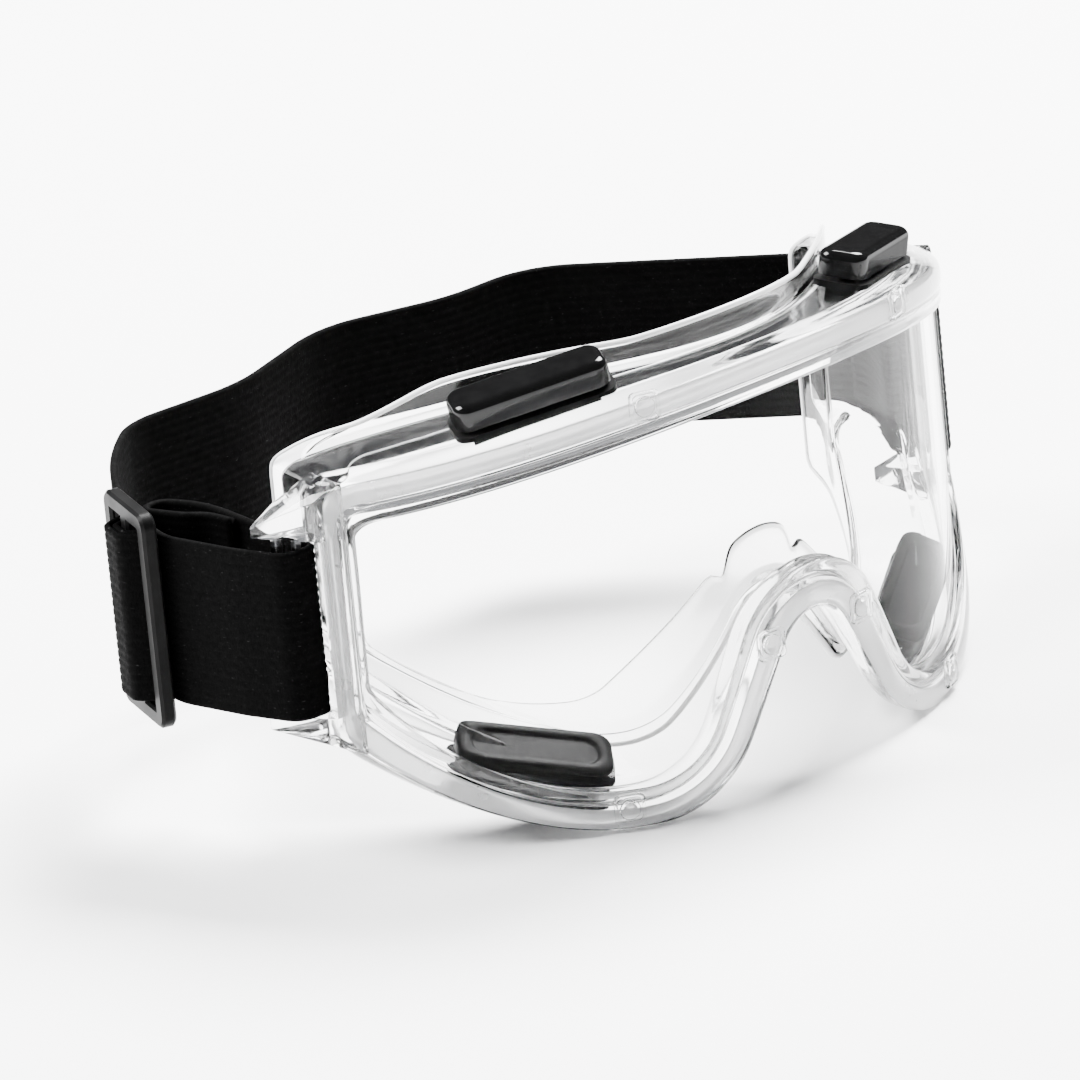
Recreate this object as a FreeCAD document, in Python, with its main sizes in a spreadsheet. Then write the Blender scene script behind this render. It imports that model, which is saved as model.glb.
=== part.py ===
"""Chemical-splash safety goggles: a clear soft frame, a curved lens, four capped vents,
an elastic head strap threaded through the frame's side wings, and one strap slider.

Every size is in millimetres.  The pieces are drawn in the goggles' own frame: X from the
mirror plane, Y back from the rim's foremost point, Z up from the table.  seat() moves that
frame so that the origin lies under the middle of the whole object's bounding box.
"""
import FreeCAD, Part
import math
import os

import Sketcher
from FreeCAD import Placement, Rotation, Vector

DOC = FreeCAD.newDocument("safety_goggles")
UP = Vector(0, 0, 1)
BACK = Vector(0, 1, 0)
MIRROR_NORMAL = Vector(1, 0, 0)
UPRIGHT = Placement(Vector(0, 0, 0), Rotation(Vector(1, 0, 0), 90))

# ---------------------------------------------------------------- driving dimensions

DIMENSIONS = {
    # where the goggles' frame stands in the object's frame
    "mirror_x": 3.1,
    "front_y": -73.65,
    # lengths of the blocks that cut right through the goggles
    "full_depth": 105.0,
    "full_height": 114.0,
    "full_front": 5.0,
    # front rim, seen from the front
    "rim_half": 82.5,
    "rim_peak": 92.4,
    "rim_arch": 237.0,
    "rim_corner": 5.0,
    "rim_foot": 22.1,
    "rim_low": -0.4,
    "chin_x": 40.0,
    "rim_chin": 24.7,
    "rim_nose": 9.6,
    "rim_bridge": 35.2,
    # front rim, seen from above: the lens wraps a vertical cylinder
    "wrap_radius": 95.0,
    "rim_depth": 7.5,
    "rim_back": 56.0,
    # how far the lens opening lies inside the rim's outline
    "lip_top": 8.6,
    "lip_side": 2.2,
    "lip_foot": 13.0,
    "lip_low": 8.3,
    "lip_nose": 10.0,
    # lens and the groove that holds it
    "lens_setback": 2.4,
    "lens_thick": 2.0,
    "lens_bite": 2.6,
    "lens_bite_side": 0.9,
    "groove_gap": 0.12,
    # body walls, a tapering tube from the rim back to the face
    "wall_thick": 2.2,
    "wall_setback": 0.4,
    "wall_start": 5.0,
    "wall_end": 85.0,
    "wall_front_half": 96.4,
    "wall_rear_half": 69.6,
    "wall_front_peak": 91.2,
    "wall_rear_peak": 97.0,
    "wall_front_arch": 237.0,
    "wall_rear_arch": 131.0,
    "wall_front_foot": 20.5,
    "wall_rear_foot": 45.0,
    "wall_front_low": 0.6,
    "wall_rear_low": 40.0,
    "wall_front_bridge": 35.0,
    "wall_rear_bridge": 60.0,
    "wall_front_chin": 24.0,
    "wall_rear_chin": 18.0,
    "wall_front_nose": 10.0,
    "wall_rear_nose": 14.0,
    # face seal: the curve that lies against forehead, temples and cheeks
    "seal_y": 15.5,
    "seal_thick": 1.8,
    "seal_brow_radius": 45.0,
    "seal_brow_span": 30.0,
    "seal_cheek_radius": 130.0,
    "seal_cheek_span": 29.0,
    "seal_temple_radius": 30.0,
    "seal_temple_span": 24.0,
    "seal_half": 73.0,
    "seal_peak": 98.6,
    "seal_arch": 150.0,
    "seal_foot": 26.0,
    "seal_low": 12.5,
    "seal_bridge": 39.0,
    "face_half": 66.0,
    "face_peak": 89.5,
    "face_foot": 36.0,
    "face_low": 21.0,
    "face_bridge": 50.0,
    "bead_width": 2.0,
    "bead_proud": 0.9,
    # wing: the side bracket with the strap slot
    "wing_root": 46.0,
    "wing_root_half": 82.1,
    "wing_root_inner": 80.0,
    "wing_tip": 68.0,
    "wing_tip_half": 90.8,
    "wing_tip_flat": 89.0,
    "wing_tip_inner": 74.3,
    "wing_top_root": 76.4,
    "wing_top_tip": 68.2,
    "wing_low_root": 21.0,
    "wing_low_tip": 25.0,
    "slot_front": 51.6,
    "slot_rear": 57.4,
    "slot_low": 28.2,
    "slot_high": 66.0,
    "bar_rear": 61.6,
    "bar_inner": 85.3,
    "bar_lean": 0.5,
    "throat_inner": 68.5,
    "mouth_wide": 30.0,
    # vents
    "vent_long": 34.0,
    "vent_wide": 11.6,
    "vent_corner": 3.2,
    "base_flange": 1.3,
    "plug_long": 27.0,
    "plug_wide": 6.4,
    "plug_deep": 5.0,
    "plug_wall": 1.2,
    "plug_gap": 0.25,
    "window_deep": 9.0,
    "window_tall": 12.0,
    "ledge_sink": 0.05,
    "ledge_tall": 9.0,
    "cap_rise": 5.4,
    "cap_gap": 0.9,
    "cap_wall": 1.3,
    "cap_round": 1.9,
    "post_radius": 1.5,
    "post_pitch": 22.0,
    # strap and slider
    "strap_wide": 36.0,
    "strap_thick": 1.6,
    "strap_low": 29.1,
    "slider_tall": 46.0,
    "slider_long": 22.4,
    "slider_thick": 3.2,
    "slider_side": 3.8,
    "slider_bar": 3.8,
    "slider_gap": 5.5,
    "slider_pitch": 4.65,
    "slider_window": 38.4,
    "slider_round": 0.6,
    "slider_mid_z": 47.1,
    "slider_stand_off": 2.9,
    "slider_lean": 20.6,
    "travel_x": -5.4,
    "travel_y": 59.9,
    "travel_radius": 95.0,
    "stitch_inset": 2.0,
    "stitch_thick": 0.35,
    "stitch_tall": 32.0,
    "stitch_long": 1.0,
}


def make_sheet():
    sheet = DOC.addObject("Spreadsheet::Sheet", "Sizes")
    for row, (alias, value) in enumerate(DIMENSIONS.items(), start=1):
        sheet.set(f"A{row}", alias)
        sheet.set(f"B{row}", str(value))
        sheet.setAlias(f"B{row}", alias)
    DOC.recompute()
    return sheet


SHEET = make_sheet()


def size(alias):
    return float(SHEET.get(alias))


def bind(thing, **expressions):
    """Ties properties of an object to the sheet, written as sums of aliases."""
    for name, expression in expressions.items():
        thing.setExpression(name.replace("__", "."), in_sheet(expression))


def in_sheet(expression):
    words = expression.replace("(", "( ").replace(")", " )").split()
    return " ".join(f"Sizes.{w}" if w in DIMENSIONS else w for w in words)


def amount(expression):
    """The number that a sum of aliases stands for."""
    total, sign = 0.0, 1.0
    for word in expression.split():
        if word in "+-":
            sign = 1.0 if word == "+" else -1.0
        else:
            total += sign * (size(word) if word in DIMENSIONS else float(word))
    return total


def less(expression):
    """The same sum with every sign turned, ready to follow another term."""
    turned = {"+": "-", "-": "+"}
    return "- " + " ".join(turned.get(word, word) for word in expression.split())


# ---------------------------------------------------------------- boolean helpers


def join(kind, name, base, tool):
    thing = DOC.addObject(f"Part::{kind}", name)
    thing.Base, thing.Tool = base, tool
    return thing


def fuse(name, *things):
    thing = DOC.addObject("Part::MultiFuse", name)
    thing.Shapes = list(things)
    thing.Refine = True
    return thing


def extrude(name, sketch, direction, forward):
    thing = DOC.addObject("Part::Extrusion", name)
    thing.Base = sketch
    thing.DirMode = "Custom"
    thing.Dir = direction
    thing.Solid = True
    bind(thing, LengthFwd=forward)
    return thing


def mirrored(name, source):
    thing = DOC.addObject("Part::Mirroring", name)
    thing.Source = source
    thing.Normal = MIRROR_NORMAL
    return thing


def cylinder(name, radius, height):
    thing = DOC.addObject("Part::Cylinder", name)
    bind(thing, Radius=radius, Height=height)
    return thing


def arc(centre, radius, first, last):
    """Arc that runs counter-clockwise from point first to point last."""
    angles = [math.atan2(p.y - centre.y, p.x - centre.x) for p in (first, last)]
    return Part.ArcOfCircle(Part.Circle(centre, UP, radius), *angles)


# ---------------------------------------------------------------- goggle outlines

START, END, CENTRE = 1, 2, 3
ORIGIN, VERTICAL_AXIS = -1, -2


def outline(name, half, peak, arch, corner, foot, chin_x, low, chin, nose, bridge):
    """Right half of a goggle-shaped outline, closed along the mirror plane.

    Each argument is a sum of sheet aliases.  In order the edges are the brow arch, the
    top corner, the side, the cheek arc, the chin arc, the nose side and the nose arch.
    """
    terms = [half, peak, arch, corner, foot, chin_x, low, chin, nose, bridge]
    w, top_z, r_arch, r_corner, foot_z, x, low_z, r_chin, r_nose, nose_z = map(amount, terms)
    arch_mid = Vector(0, top_z - r_arch, 0)
    corner_x = w - r_corner
    corner_z = arch_mid.y + math.sqrt((r_arch - r_corner) ** 2 - corner_x**2)
    corner_mid = Vector(corner_x, corner_z, 0)
    arch_end = arch_mid + (corner_mid - arch_mid) * (r_arch / (r_arch - r_corner))
    side_top, side_foot, bottom = Vector(w, corner_z, 0), Vector(w, foot_z, 0), Vector(x, low_z, 0)
    rise = foot_z - low_z
    r_cheek = ((w - x) ** 2 + rise**2) / (2 * rise)
    cheek_mid, chin_mid = Vector(x, low_z + r_cheek, 0), Vector(x, low_z + r_chin, 0)
    nose_mid = Vector(0, nose_z - r_nose, 0)
    between = chin_mid - nose_mid
    turn = math.acos((r_chin + r_nose) / between.Length)
    normal = Rotation(UP, math.degrees(turn)).multVec(between.normalize())
    chin_end, nose_end = chin_mid - normal * r_chin, nose_mid + normal * r_nose
    crown, saddle = Vector(0, top_z, 0), Vector(0, nose_z, 0)

    sketch = DOC.addObject("Sketcher::SketchObject", name)
    sketch.Placement = UPRIGHT
    sketch.addGeometry(
        [
            arc(arch_mid, r_arch, arch_end, crown),
            arc(corner_mid, r_corner, side_top, arch_end),
            Part.LineSegment(side_foot, side_top),
            arc(cheek_mid, r_cheek, bottom, side_foot),
            arc(chin_mid, r_chin, chin_end, bottom),
            Part.LineSegment(nose_end, chin_end),
            arc(nose_mid, r_nose, nose_end, saddle),
            Part.LineSegment(crown, saddle),
        ]
    )
    rules = [
        ("Tangent", 0, START, 1, END),
        ("Tangent", 1, START, 2, END),
        ("Coincident", 2, START, 3, END),
        ("Tangent", 3, START, 4, END),
        ("Tangent", 4, START, 5, END),
        ("Tangent", 5, START, 6, START),
        ("Coincident", 6, END, 7, END),
        ("Coincident", 7, START, 0, END),
        ("PointOnObject", 0, CENTRE, VERTICAL_AXIS),
        ("PointOnObject", 6, CENTRE, VERTICAL_AXIS),
        ("PointOnObject", 7, START, VERTICAL_AXIS),
        ("PointOnObject", 7, END, VERTICAL_AXIS),
        ("Vertical", 2),
        ("Vertical", 3, START, 4, CENTRE),
    ]
    sketch.addConstraint([Sketcher.Constraint(*rule) for rule in rules])
    drive(sketch, "half", half, "DistanceX", ORIGIN, START, 2, START)
    drive(sketch, "peak", peak, "DistanceY", ORIGIN, START, 7, START)
    drive(sketch, "arch", arch, "Radius", 0)
    drive(sketch, "corner", corner, "Radius", 1)
    drive(sketch, "foot", foot, "DistanceY", ORIGIN, START, 2, START)
    drive(sketch, "chin_x", chin_x, "DistanceX", ORIGIN, START, 3, START)
    drive(sketch, "low", low, "DistanceY", ORIGIN, START, 3, START)
    drive(sketch, "chin", chin, "Radius", 4)
    drive(sketch, "nose", nose, "Radius", 6)
    drive(sketch, "bridge", bridge, "DistanceY", ORIGIN, START, 7, END)
    return sketch


def drive(sketch, name, expression, kind, *where):
    """Adds a dimension and ties it to the sheet."""
    index = sketch.addConstraint(Sketcher.Constraint(kind, *where, amount(expression)))
    sketch.renameConstraint(index, name)
    sketch.setExpression(f"Constraints.{name}", in_sheet(expression))


def rim_outline(name, top="0", side="0", foot="0", low="0", nose="0"):
    """The rim's outline drawn in by the given distances."""
    return outline(
        name,
        half=f"rim_half {less(side)}",
        peak=f"rim_peak {less(top)}",
        arch=f"rim_arch {less(top)}",
        corner="rim_corner",
        foot=f"rim_foot + {foot}",
        chin_x="chin_x",
        low=f"rim_low + {low}",
        chin=f"rim_chin {less(low)}",
        nose=f"rim_nose + {nose}",
        bridge=f"rim_bridge + {nose}",
    )


# ---------------------------------------------------------------- plan curves


def seal_region(name, back):
    """Everything in front of the face seal's curve moved back by the given distance.

    Seen from above, right half: a brow arc, a long cheek arc and a temple arc, each
    tangent to the next, closed round the front of the goggles.
    """
    parts = ("brow", "cheek", "temple")
    start = Vector(0, amount(f"seal_y + {back}"), 0)
    arcs, point, lean = [], start, 0.0
    for part in parts:
        radius = amount(f"seal_{part}_radius {less(back)}")
        mid = point + Vector(-math.sin(lean), math.cos(lean), 0) * radius
        lean += math.radians(size(f"seal_{part}_span"))
        end = mid + Vector(math.sin(lean), -math.cos(lean), 0) * radius
        arcs.append(arc(mid, radius, point, end))
        point = end
    wide = amount("wall_front_half")
    front = -size("full_front")
    corners = [point, Vector(wide, point.y, 0), Vector(wide, front, 0), Vector(0, front, 0), start]
    edges = [Part.LineSegment(a, b) for a, b in zip(corners, corners[1:])]
    sketch = DOC.addObject("Sketcher::SketchObject", name)
    sketch.addGeometry(arcs + edges)
    rules = [
        ("Tangent", 0, END, 1, START),
        ("Tangent", 1, END, 2, START),
        ("Coincident", 2, END, 3, START),
        ("Coincident", 3, END, 4, START),
        ("Coincident", 4, END, 5, START),
        ("Coincident", 5, END, 6, START),
        ("Coincident", 6, END, 0, START),
        ("PointOnObject", 0, CENTRE, VERTICAL_AXIS),
        ("PointOnObject", 0, START, VERTICAL_AXIS),
        ("Vertical", 6),
        ("Horizontal", 3),
        ("Vertical", 4),
        ("Horizontal", 5),
    ]
    sketch.addConstraint([Sketcher.Constraint(*rule) for rule in rules])
    drive(sketch, "start", f"seal_y + {back}", "DistanceY", ORIGIN, START, 0, START)
    for index, part in enumerate(parts):
        drive(sketch, f"{part}_radius", f"seal_{part}_radius {less(back)}", "Radius", index)
        span = math.radians(size(f"seal_{part}_span"))
        rule = sketch.addConstraint(Sketcher.Constraint("Angle", index, span))
        sketch.renameConstraint(rule, f"{part}_span")
        sketch.setExpression(f"Constraints.{part}_span", f"Sizes.seal_{part}_span * 1 deg")
    drive(sketch, "wide", "wall_front_half", "DistanceX", ORIGIN, START, 4, START)
    drive(sketch, "front", "full_front", "DistanceY", 5, END, ORIGIN, START)
    return extrude(f"{name}_block", sketch, UP, "full_height")


def wrap_shell(name, setback, thick):
    """Vertical cylindrical shell that the rim and the lens follow."""
    radius = f"wrap_radius {less(setback)}"
    outer = cylinder(f"{name}_outer", radius, "full_height")
    inner = cylinder(f"{name}_inner", f"{radius} {less(thick)}", "full_height")
    for part in (outer, inner):
        bind(part, Placement__Base__y="wrap_radius")
    return join("Cut", name, outer, inner)


# ---------------------------------------------------------------- clear frame


def wall_section(name, end, inset):
    """Outline of the body walls at their front or rear end."""
    sketch = outline(
        name,
        half=f"wall_{end}_half - {inset}",
        peak=f"wall_{end}_peak - {inset}",
        arch=f"wall_{end}_arch - {inset}",
        corner="rim_corner",
        foot=f"wall_{end}_foot + {inset}",
        chin_x="chin_x",
        low=f"wall_{end}_low + {inset}",
        chin=f"wall_{end}_chin - {inset}",
        nose=f"wall_{end}_nose + {inset}",
        bridge=f"wall_{end}_bridge + {inset}",
    )
    bind(sketch, Placement__Base__y="wall_start" if end == "front" else "wall_end")
    return sketch


def wall_tube(name, inset):
    tube = DOC.addObject("Part::Loft", name)
    tube.Sections = [wall_section(f"{name}_{end}", end, inset) for end in ("front", "rear")]
    tube.Solid, tube.Ruled = True, True
    return tube


def seal_outline(name, inset):
    """Outer edge of the face seal, drawn in by the given distance."""
    return outline(
        name,
        half=f"seal_half - {inset}",
        peak=f"seal_peak - {inset}",
        arch=f"seal_arch - {inset}",
        corner="rim_corner",
        foot=f"seal_foot + {inset}",
        chin_x="chin_x",
        low=f"seal_low + {inset}",
        chin=f"wall_rear_chin - {inset}",
        nose=f"rim_nose + {inset}",
        bridge=f"seal_bridge + {inset}",
    )


def face_opening(name):
    return outline(
        name,
        half="face_half",
        peak="face_peak",
        arch="seal_arch",
        corner="rim_corner",
        foot="face_foot",
        chin_x="chin_x",
        low="face_low",
        chin="rim_nose",
        nose="wall_rear_nose",
        bridge="face_bridge",
    )


def across(name, sketch):
    return extrude(name, sketch, BACK, "full_depth")


def rim_ring():
    disc = extrude("rim_disc", rim_outline("rim_edge"), BACK, "rim_back")
    band = join("Cut", "rim_band", disc, lens_opening())
    return join("Common", "rim_ring", band, wrap_shell("rim_shell", "0", "rim_depth"))


def lens_opening():
    edge = rim_outline("opening_edge", "lip_top", "lip_side", "lip_foot", "lip_low", "lip_nose")
    return across("lens_window", edge)


def lens_disc(name, gap):
    """The lens's outline, let out by the given gap."""
    edge = rim_outline(
        f"{name}_edge",
        f"lip_top - lens_bite - {gap}",
        f"lip_side - lens_bite_side - {gap}",
        f"lip_foot - lens_bite - {gap}",
        f"lip_low - lens_bite - {gap}",
        f"lip_nose - lens_bite - {gap}",
    )
    return across(name, edge)


def lens_groove():
    disc = lens_disc("groove_disc", "groove_gap")
    wide = "lens_thick + groove_gap + groove_gap"
    shell = wrap_shell("groove_shell", "lens_setback - groove_gap", wide)
    return join("Common", "lens_groove", disc, shell)


def body_walls():
    outside, inside = wall_tube("wall_outside", "0"), wall_tube("wall_inside", "wall_thick")
    tube = join("Cut", "wall_tube", outside, inside)
    behind_lens = cylinder("behind_rim_face", "wrap_radius - wall_setback", "full_height")
    bind(behind_lens, Placement__Base__y="wrap_radius")
    trimmed = join("Common", "wall_behind_rim", tube, behind_lens)
    return join("Common", "body_walls", trimmed, seal_region("seal_rear", "seal_thick"))


def face_seal():
    rear, front = seal_region("seal_back", "seal_thick"), seal_region("seal_front", "0")
    skin = join("Cut", "seal_skin", rear, front)
    disc = across("seal_disc", seal_outline("seal_edge", "0"))
    ring = join("Cut", "seal_ring", disc, across("face_hole", face_opening("face_edge")))
    flange = join("Common", "seal_flange", ring, skin)
    thick_skin = join(
        "Cut",
        "bead_skin",
        seal_region("bead_back", "seal_thick + bead_proud"),
        seal_region("bead_front", "0 - bead_proud"),
    )
    edge_ring = join(
        "Cut",
        "bead_ring",
        across("bead_disc", seal_outline("bead_edge", "0")),
        across("bead_hole", seal_outline("bead_inner_edge", "bead_width")),
    )
    return [flange, join("Common", "seal_bead", edge_ring, thick_skin)]


def polygon_block(name, corners, placement, direction, length):
    """Prism on a polygon whose corners are pairs of sums of aliases."""
    points = [Vector(amount(a), amount(b), 0) for a, b in corners]
    sketch = DOC.addObject("Sketcher::SketchObject", name)
    sketch.Placement = placement
    sketch.addGeometry([Part.LineSegment(a, b) for a, b in zip(points, points[1:] + points[:1])])
    count = len(points)
    for index in range(count):
        rule = Sketcher.Constraint("Coincident", index, END, (index + 1) % count, START)
        sketch.addConstraint(rule)
    for index, (a, b) in enumerate(corners):
        drive(sketch, f"along_{index}", a, "DistanceX", ORIGIN, START, index, START)
        drive(sketch, f"up_{index}", b, "DistanceY", ORIGIN, START, index, START)
    return extrude(f"{name}_block", sketch, direction, length)


SIDEWAYS = Placement(Vector(0, 0, 0), Rotation(Vector(1, 1, 1), 120))


def wing():
    """Bracket behind the rim's side: two ledges and the bar that the strap loops round."""
    plan = [
        ("wing_root_inner", "wing_root + rim_corner"),
        ("wing_root_half", "wing_root"),
        ("wing_tip_half", "wing_tip - 1"),
        ("wing_tip_flat", "wing_tip"),
        ("wing_tip_inner", "wing_tip"),
    ]
    ledges = polygon_block("wing_plan", plan, Placement(), UP, "full_height")
    side = [
        ("wing_root", "wing_low_root"),
        ("wing_tip", "wing_low_tip"),
        ("wing_tip", "wing_top_tip"),
        ("wing_root", "wing_top_root"),
    ]
    profile = polygon_block("wing_side", side, SIDEWAYS, MIRROR_NORMAL, "wall_front_half")
    solid = join("Common", "wing_solid", ledges, profile)
    mouths = []
    for name, start, end in (
        ("slot", "slot_front", "slot_rear"),
        ("behind_bar", "bar_rear", "wing_tip + 1"),
    ):
        corners = [(start, "slot_low"), (end, "slot_low"), (end, "slot_high"), (start, "slot_high")]
        block = polygon_block(name, corners, SIDEWAYS, MIRROR_NORMAL, "mouth_wide")
        bind(block, Placement__Base__x="throat_inner")
        mouths.append(block)
    throat = [
        ("throat_inner", "slot_front"),
        ("bar_inner", "slot_front"),
        ("bar_inner + bar_lean", "wing_tip + 1"),
        ("throat_inner", "wing_tip + 1"),
    ]
    inboard = polygon_block("strap_throat", throat, Placement(), UP, "slot_high - slot_low")
    bind(inboard, Placement__Base__z="slot_low")
    return join("Cut", "wing_bracket", solid, fuse("wing_mouths", *mouths, inboard))


# ---------------------------------------------------------------- PartDesign helpers


def new_body(label):
    body = DOC.addObject("PartDesign::Body", label)
    body.Label = label
    return body


def flat_sketch(body, name, role):
    sketch = body.newObject("Sketcher::SketchObject", name)
    sketch.AttachmentSupport = [(origin_plane(body, role), "")]
    sketch.MapMode = "FlatFace"
    return sketch


def rectangle(sketch, tag, long, wide, middle="0"):
    """Rectangle centred on the sketch's vertical axis line moved along by middle."""
    first = sketch.GeometryCount
    a, b, m = amount(long) / 2, amount(wide) / 2, amount(middle)
    corners = [Vector(m - a, -b), Vector(m + a, -b), Vector(m + a, b), Vector(m - a, b)]
    pairs = zip(corners, corners[1:] + corners[:1])
    sketch.addGeometry([Part.LineSegment(p, q) for p, q in pairs])
    sides = [first + n for n in range(4)]
    rules = [("Coincident", sides[n], END, sides[(n + 1) % 4], START) for n in range(4)]
    rules += [("Horizontal", sides[0]), ("Horizontal", sides[2])]
    rules += [("Vertical", sides[1]), ("Vertical", sides[3])]
    sketch.addConstraint([Sketcher.Constraint(*rule) for rule in rules])
    drive(sketch, f"{tag}_long", long, "DistanceX", sides[0], START, sides[0], END)
    drive(sketch, f"{tag}_wide", wide, "DistanceY", sides[1], START, sides[1], END)
    place(sketch, f"{tag}_x", "DistanceX", sides[2], f"({in_sheet(long)}) / 2 + {in_sheet(middle)}", m + a)
    place(sketch, f"{tag}_y", "DistanceY", sides[2], f"({in_sheet(wide)}) / 2", b)


def place(sketch, name, kind, edge, expression, value):
    rule = Sketcher.Constraint(kind, ORIGIN, START, edge, START, value)
    sketch.renameConstraint(sketch.addConstraint(rule), name)
    sketch.setExpression(f"Constraints.{name}", expression)


def pad(body, name, sketch, length, reverse=False, midplane=False):
    feature = body.newObject("PartDesign::Pad", name)
    feature.Profile = sketch
    bind(feature, Length=length)
    feature.Reversed = reverse
    feature.Midplane = midplane
    DOC.recompute()
    return feature


def pocket(body, name, sketch, length, reverse=False):
    before = body.Shape.Volume
    feature = body.newObject("PartDesign::Pocket", name)
    feature.Profile = sketch
    bind(feature, Length=length)
    feature.Reversed = reverse
    DOC.recompute()
    if body.Shape.Volume > before - 1e-3:
        raise ValueError(f"{name} cuts nothing")
    return feature


def round_edges(body, name, base, radius, chosen, kind="Fillet"):
    edges = [f"Edge{n}" for n, edge in enumerate(base.Shape.Edges, start=1) if chosen(edge)]
    feature = body.newObject(f"PartDesign::{kind}", name)
    feature.Base = (base, edges)
    bind(feature, **{"Radius" if kind == "Fillet" else "Size": radius})
    DOC.recompute()
    return feature


def runs_along(edge, axis):
    ends = [v.Point for v in edge.Vertexes]
    return len(ends) == 2 and abs((ends[1] - ends[0]).normalize().dot(axis)) > 0.999


def flat_in(edge, axis):
    """Whether an edge lies in a plane across the given axis."""
    return (edge.BoundBox.XLength, edge.BoundBox.YLength, edge.BoundBox.ZLength)[axis] < 1e-4


def origin_plane(body, role):
    return next(f for f in body.Origin.OriginFeatures if f.Role == role)


def lies_at(edge, height):
    return abs(edge.BoundBox.ZMin - height) < 1e-4 and abs(edge.BoundBox.ZMax - height) < 1e-4


# ---------------------------------------------------------------- vents


def lifted(sketch, height):
    bind(sketch, AttachmentOffset__Base__z=height)


def vent_base(label):
    """Grommet pressed through a window in the frame: an outer flange and a hollow plug."""
    body = new_body(label)
    outer = flat_sketch(body, f"{label}_flange", "XY_Plane")
    rectangle(outer, "flange", "vent_long", "vent_wide")
    flange = pad(body, f"{label}_flange_pad", outer, "base_flange")
    round_edges(body, f"{label}_corners", flange, "vent_corner", lambda e: runs_along(e, UP))
    plug = flat_sketch(body, f"{label}_plug", "XY_Plane")
    rectangle(plug, "plug", "plug_long", "plug_wide")
    pad(body, f"{label}_plug_pad", plug, "plug_deep", reverse=True)
    bore = flat_sketch(body, f"{label}_bore", "XY_Plane")
    rectangle(bore, "bore", "plug_long - plug_wall - plug_wall", "plug_wide - plug_wall - plug_wall")
    lifted(bore, "base_flange")
    pocket(body, f"{label}_bore_cut", bore, "base_flange + plug_deep")
    return body


def vent_cap(label):
    """Splash cover: a rounded hollow block on two posts, open all round at its foot."""
    body = new_body(label)
    skirt = "base_flange + cap_gap"
    outer = flat_sketch(body, f"{label}_outer", "XY_Plane")
    rectangle(outer, "outer", "vent_long - cap_wall", "vent_wide - cap_wall")
    lifted(outer, skirt)
    block = pad(body, f"{label}_block", outer, "cap_rise")
    block = round_edges(body, f"{label}_corners", block, "vent_corner", lambda e: runs_along(e, UP))
    top = amount(f"{skirt} + cap_rise")
    round_edges(body, f"{label}_crown", block, "cap_round", lambda e: lies_at(e, top))
    hollow = flat_sketch(body, f"{label}_hollow", "XY_Plane")
    walls = "cap_wall - cap_wall - cap_wall"
    rectangle(hollow, "hollow", f"vent_long - {walls}", f"vent_wide - {walls}")
    lifted(hollow, skirt)
    pocket(body, f"{label}_hollow_cut", hollow, "cap_rise - cap_wall", reverse=True)
    posts = flat_sketch(body, f"{label}_posts", "XY_Plane")
    for side in (-1, 1):
        index = posts.GeometryCount
        centre = Vector(side * size("post_pitch") / 2, 0, 0)
        posts.addGeometry(Part.Circle(centre, UP, size("post_radius")))
        drive(posts, f"radius_{index}", "post_radius", "Radius", index)
        posts.addConstraint(Sketcher.Constraint("PointOnObject", index, CENTRE, ORIGIN))
        rule = Sketcher.Constraint("DistanceX", ORIGIN, START, index, CENTRE, centre.x)
        posts.renameConstraint(posts.addConstraint(rule), f"pitch_{index}")
        posts.setExpression(f"Constraints.pitch_{index}", f"{side} * Sizes.post_pitch / 2")
    lifted(posts, "base_flange")
    pad(body, f"{label}_posts_pad", posts, "cap_gap + cap_rise - cap_wall")
    return body


VENTS = {
    # centre on the frame's left half, then yaw, outward slope and forward roll in degrees
    "top": (Vector(45.6, 28.0, 87.2), 28.7, 9.5, 7.5),
    "bottom": (Vector(52.5, 31.5, 12.4), 33.0, -12.0, 206.0),
}


def vent_placement(level, side):
    """side is 1 for the wearer's left vent and -1 for the right one."""
    centre, yaw, slope, roll = VENTS[level]
    turn = Rotation(UP, side * yaw)
    turn = turn.multiply(Rotation(BACK, side * slope)).multiply(Rotation(Vector(1, 0, 0), roll))
    return Placement(Vector(side * centre.x, centre.y, centre.z), turn)


def vent_seat(level):
    """Tool that opens the wall for a vent's plug and clears room above its flange."""
    parts = []
    around = "plug_gap + plug_gap"
    for name, kind, deep, tall in (
        ("window", "plug", "window_deep", "window_tall"),
        ("ledge", "vent", "ledge_sink", "ledge_tall"),
    ):
        long, wide = f"{kind}_long + {around}", f"{kind}_wide + {around}"
        box = DOC.addObject("Part::Box", f"{level}_{name}")
        bind(box, Length=long, Width=wide, Height=tall)
        shift = Placement(Vector(-amount(long) / 2, -amount(wide) / 2, -size(deep)), Rotation())
        box.Placement = vent_placement(level, 1).multiply(shift)
        parts.append(box)
    return parts


# ---------------------------------------------------------------- strap and slider

# Each row of stitches: x, y and the heading it runs along, in degrees.
TAIL_STITCHES = [(-79.87, 83.4, 264.0), (-79.5, 87.5, 268.5)]
END_STITCHES = [(95.26, 75.4, 261.6), (95.62, 80.5, 270.0)]


def slider_placement():
    """Just outside the strap, square to the line from the axis it travels about."""
    lean = math.radians(size("slider_lean"))
    outward = Vector(-math.cos(lean), math.sin(lean), 0)
    axis = Vector(size("travel_x"), size("travel_y"), size("slider_mid_z"))
    middle = axis + outward * amount("travel_radius + slider_stand_off")
    return Placement(middle, Rotation(UP, 90 - size("slider_lean")))


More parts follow.
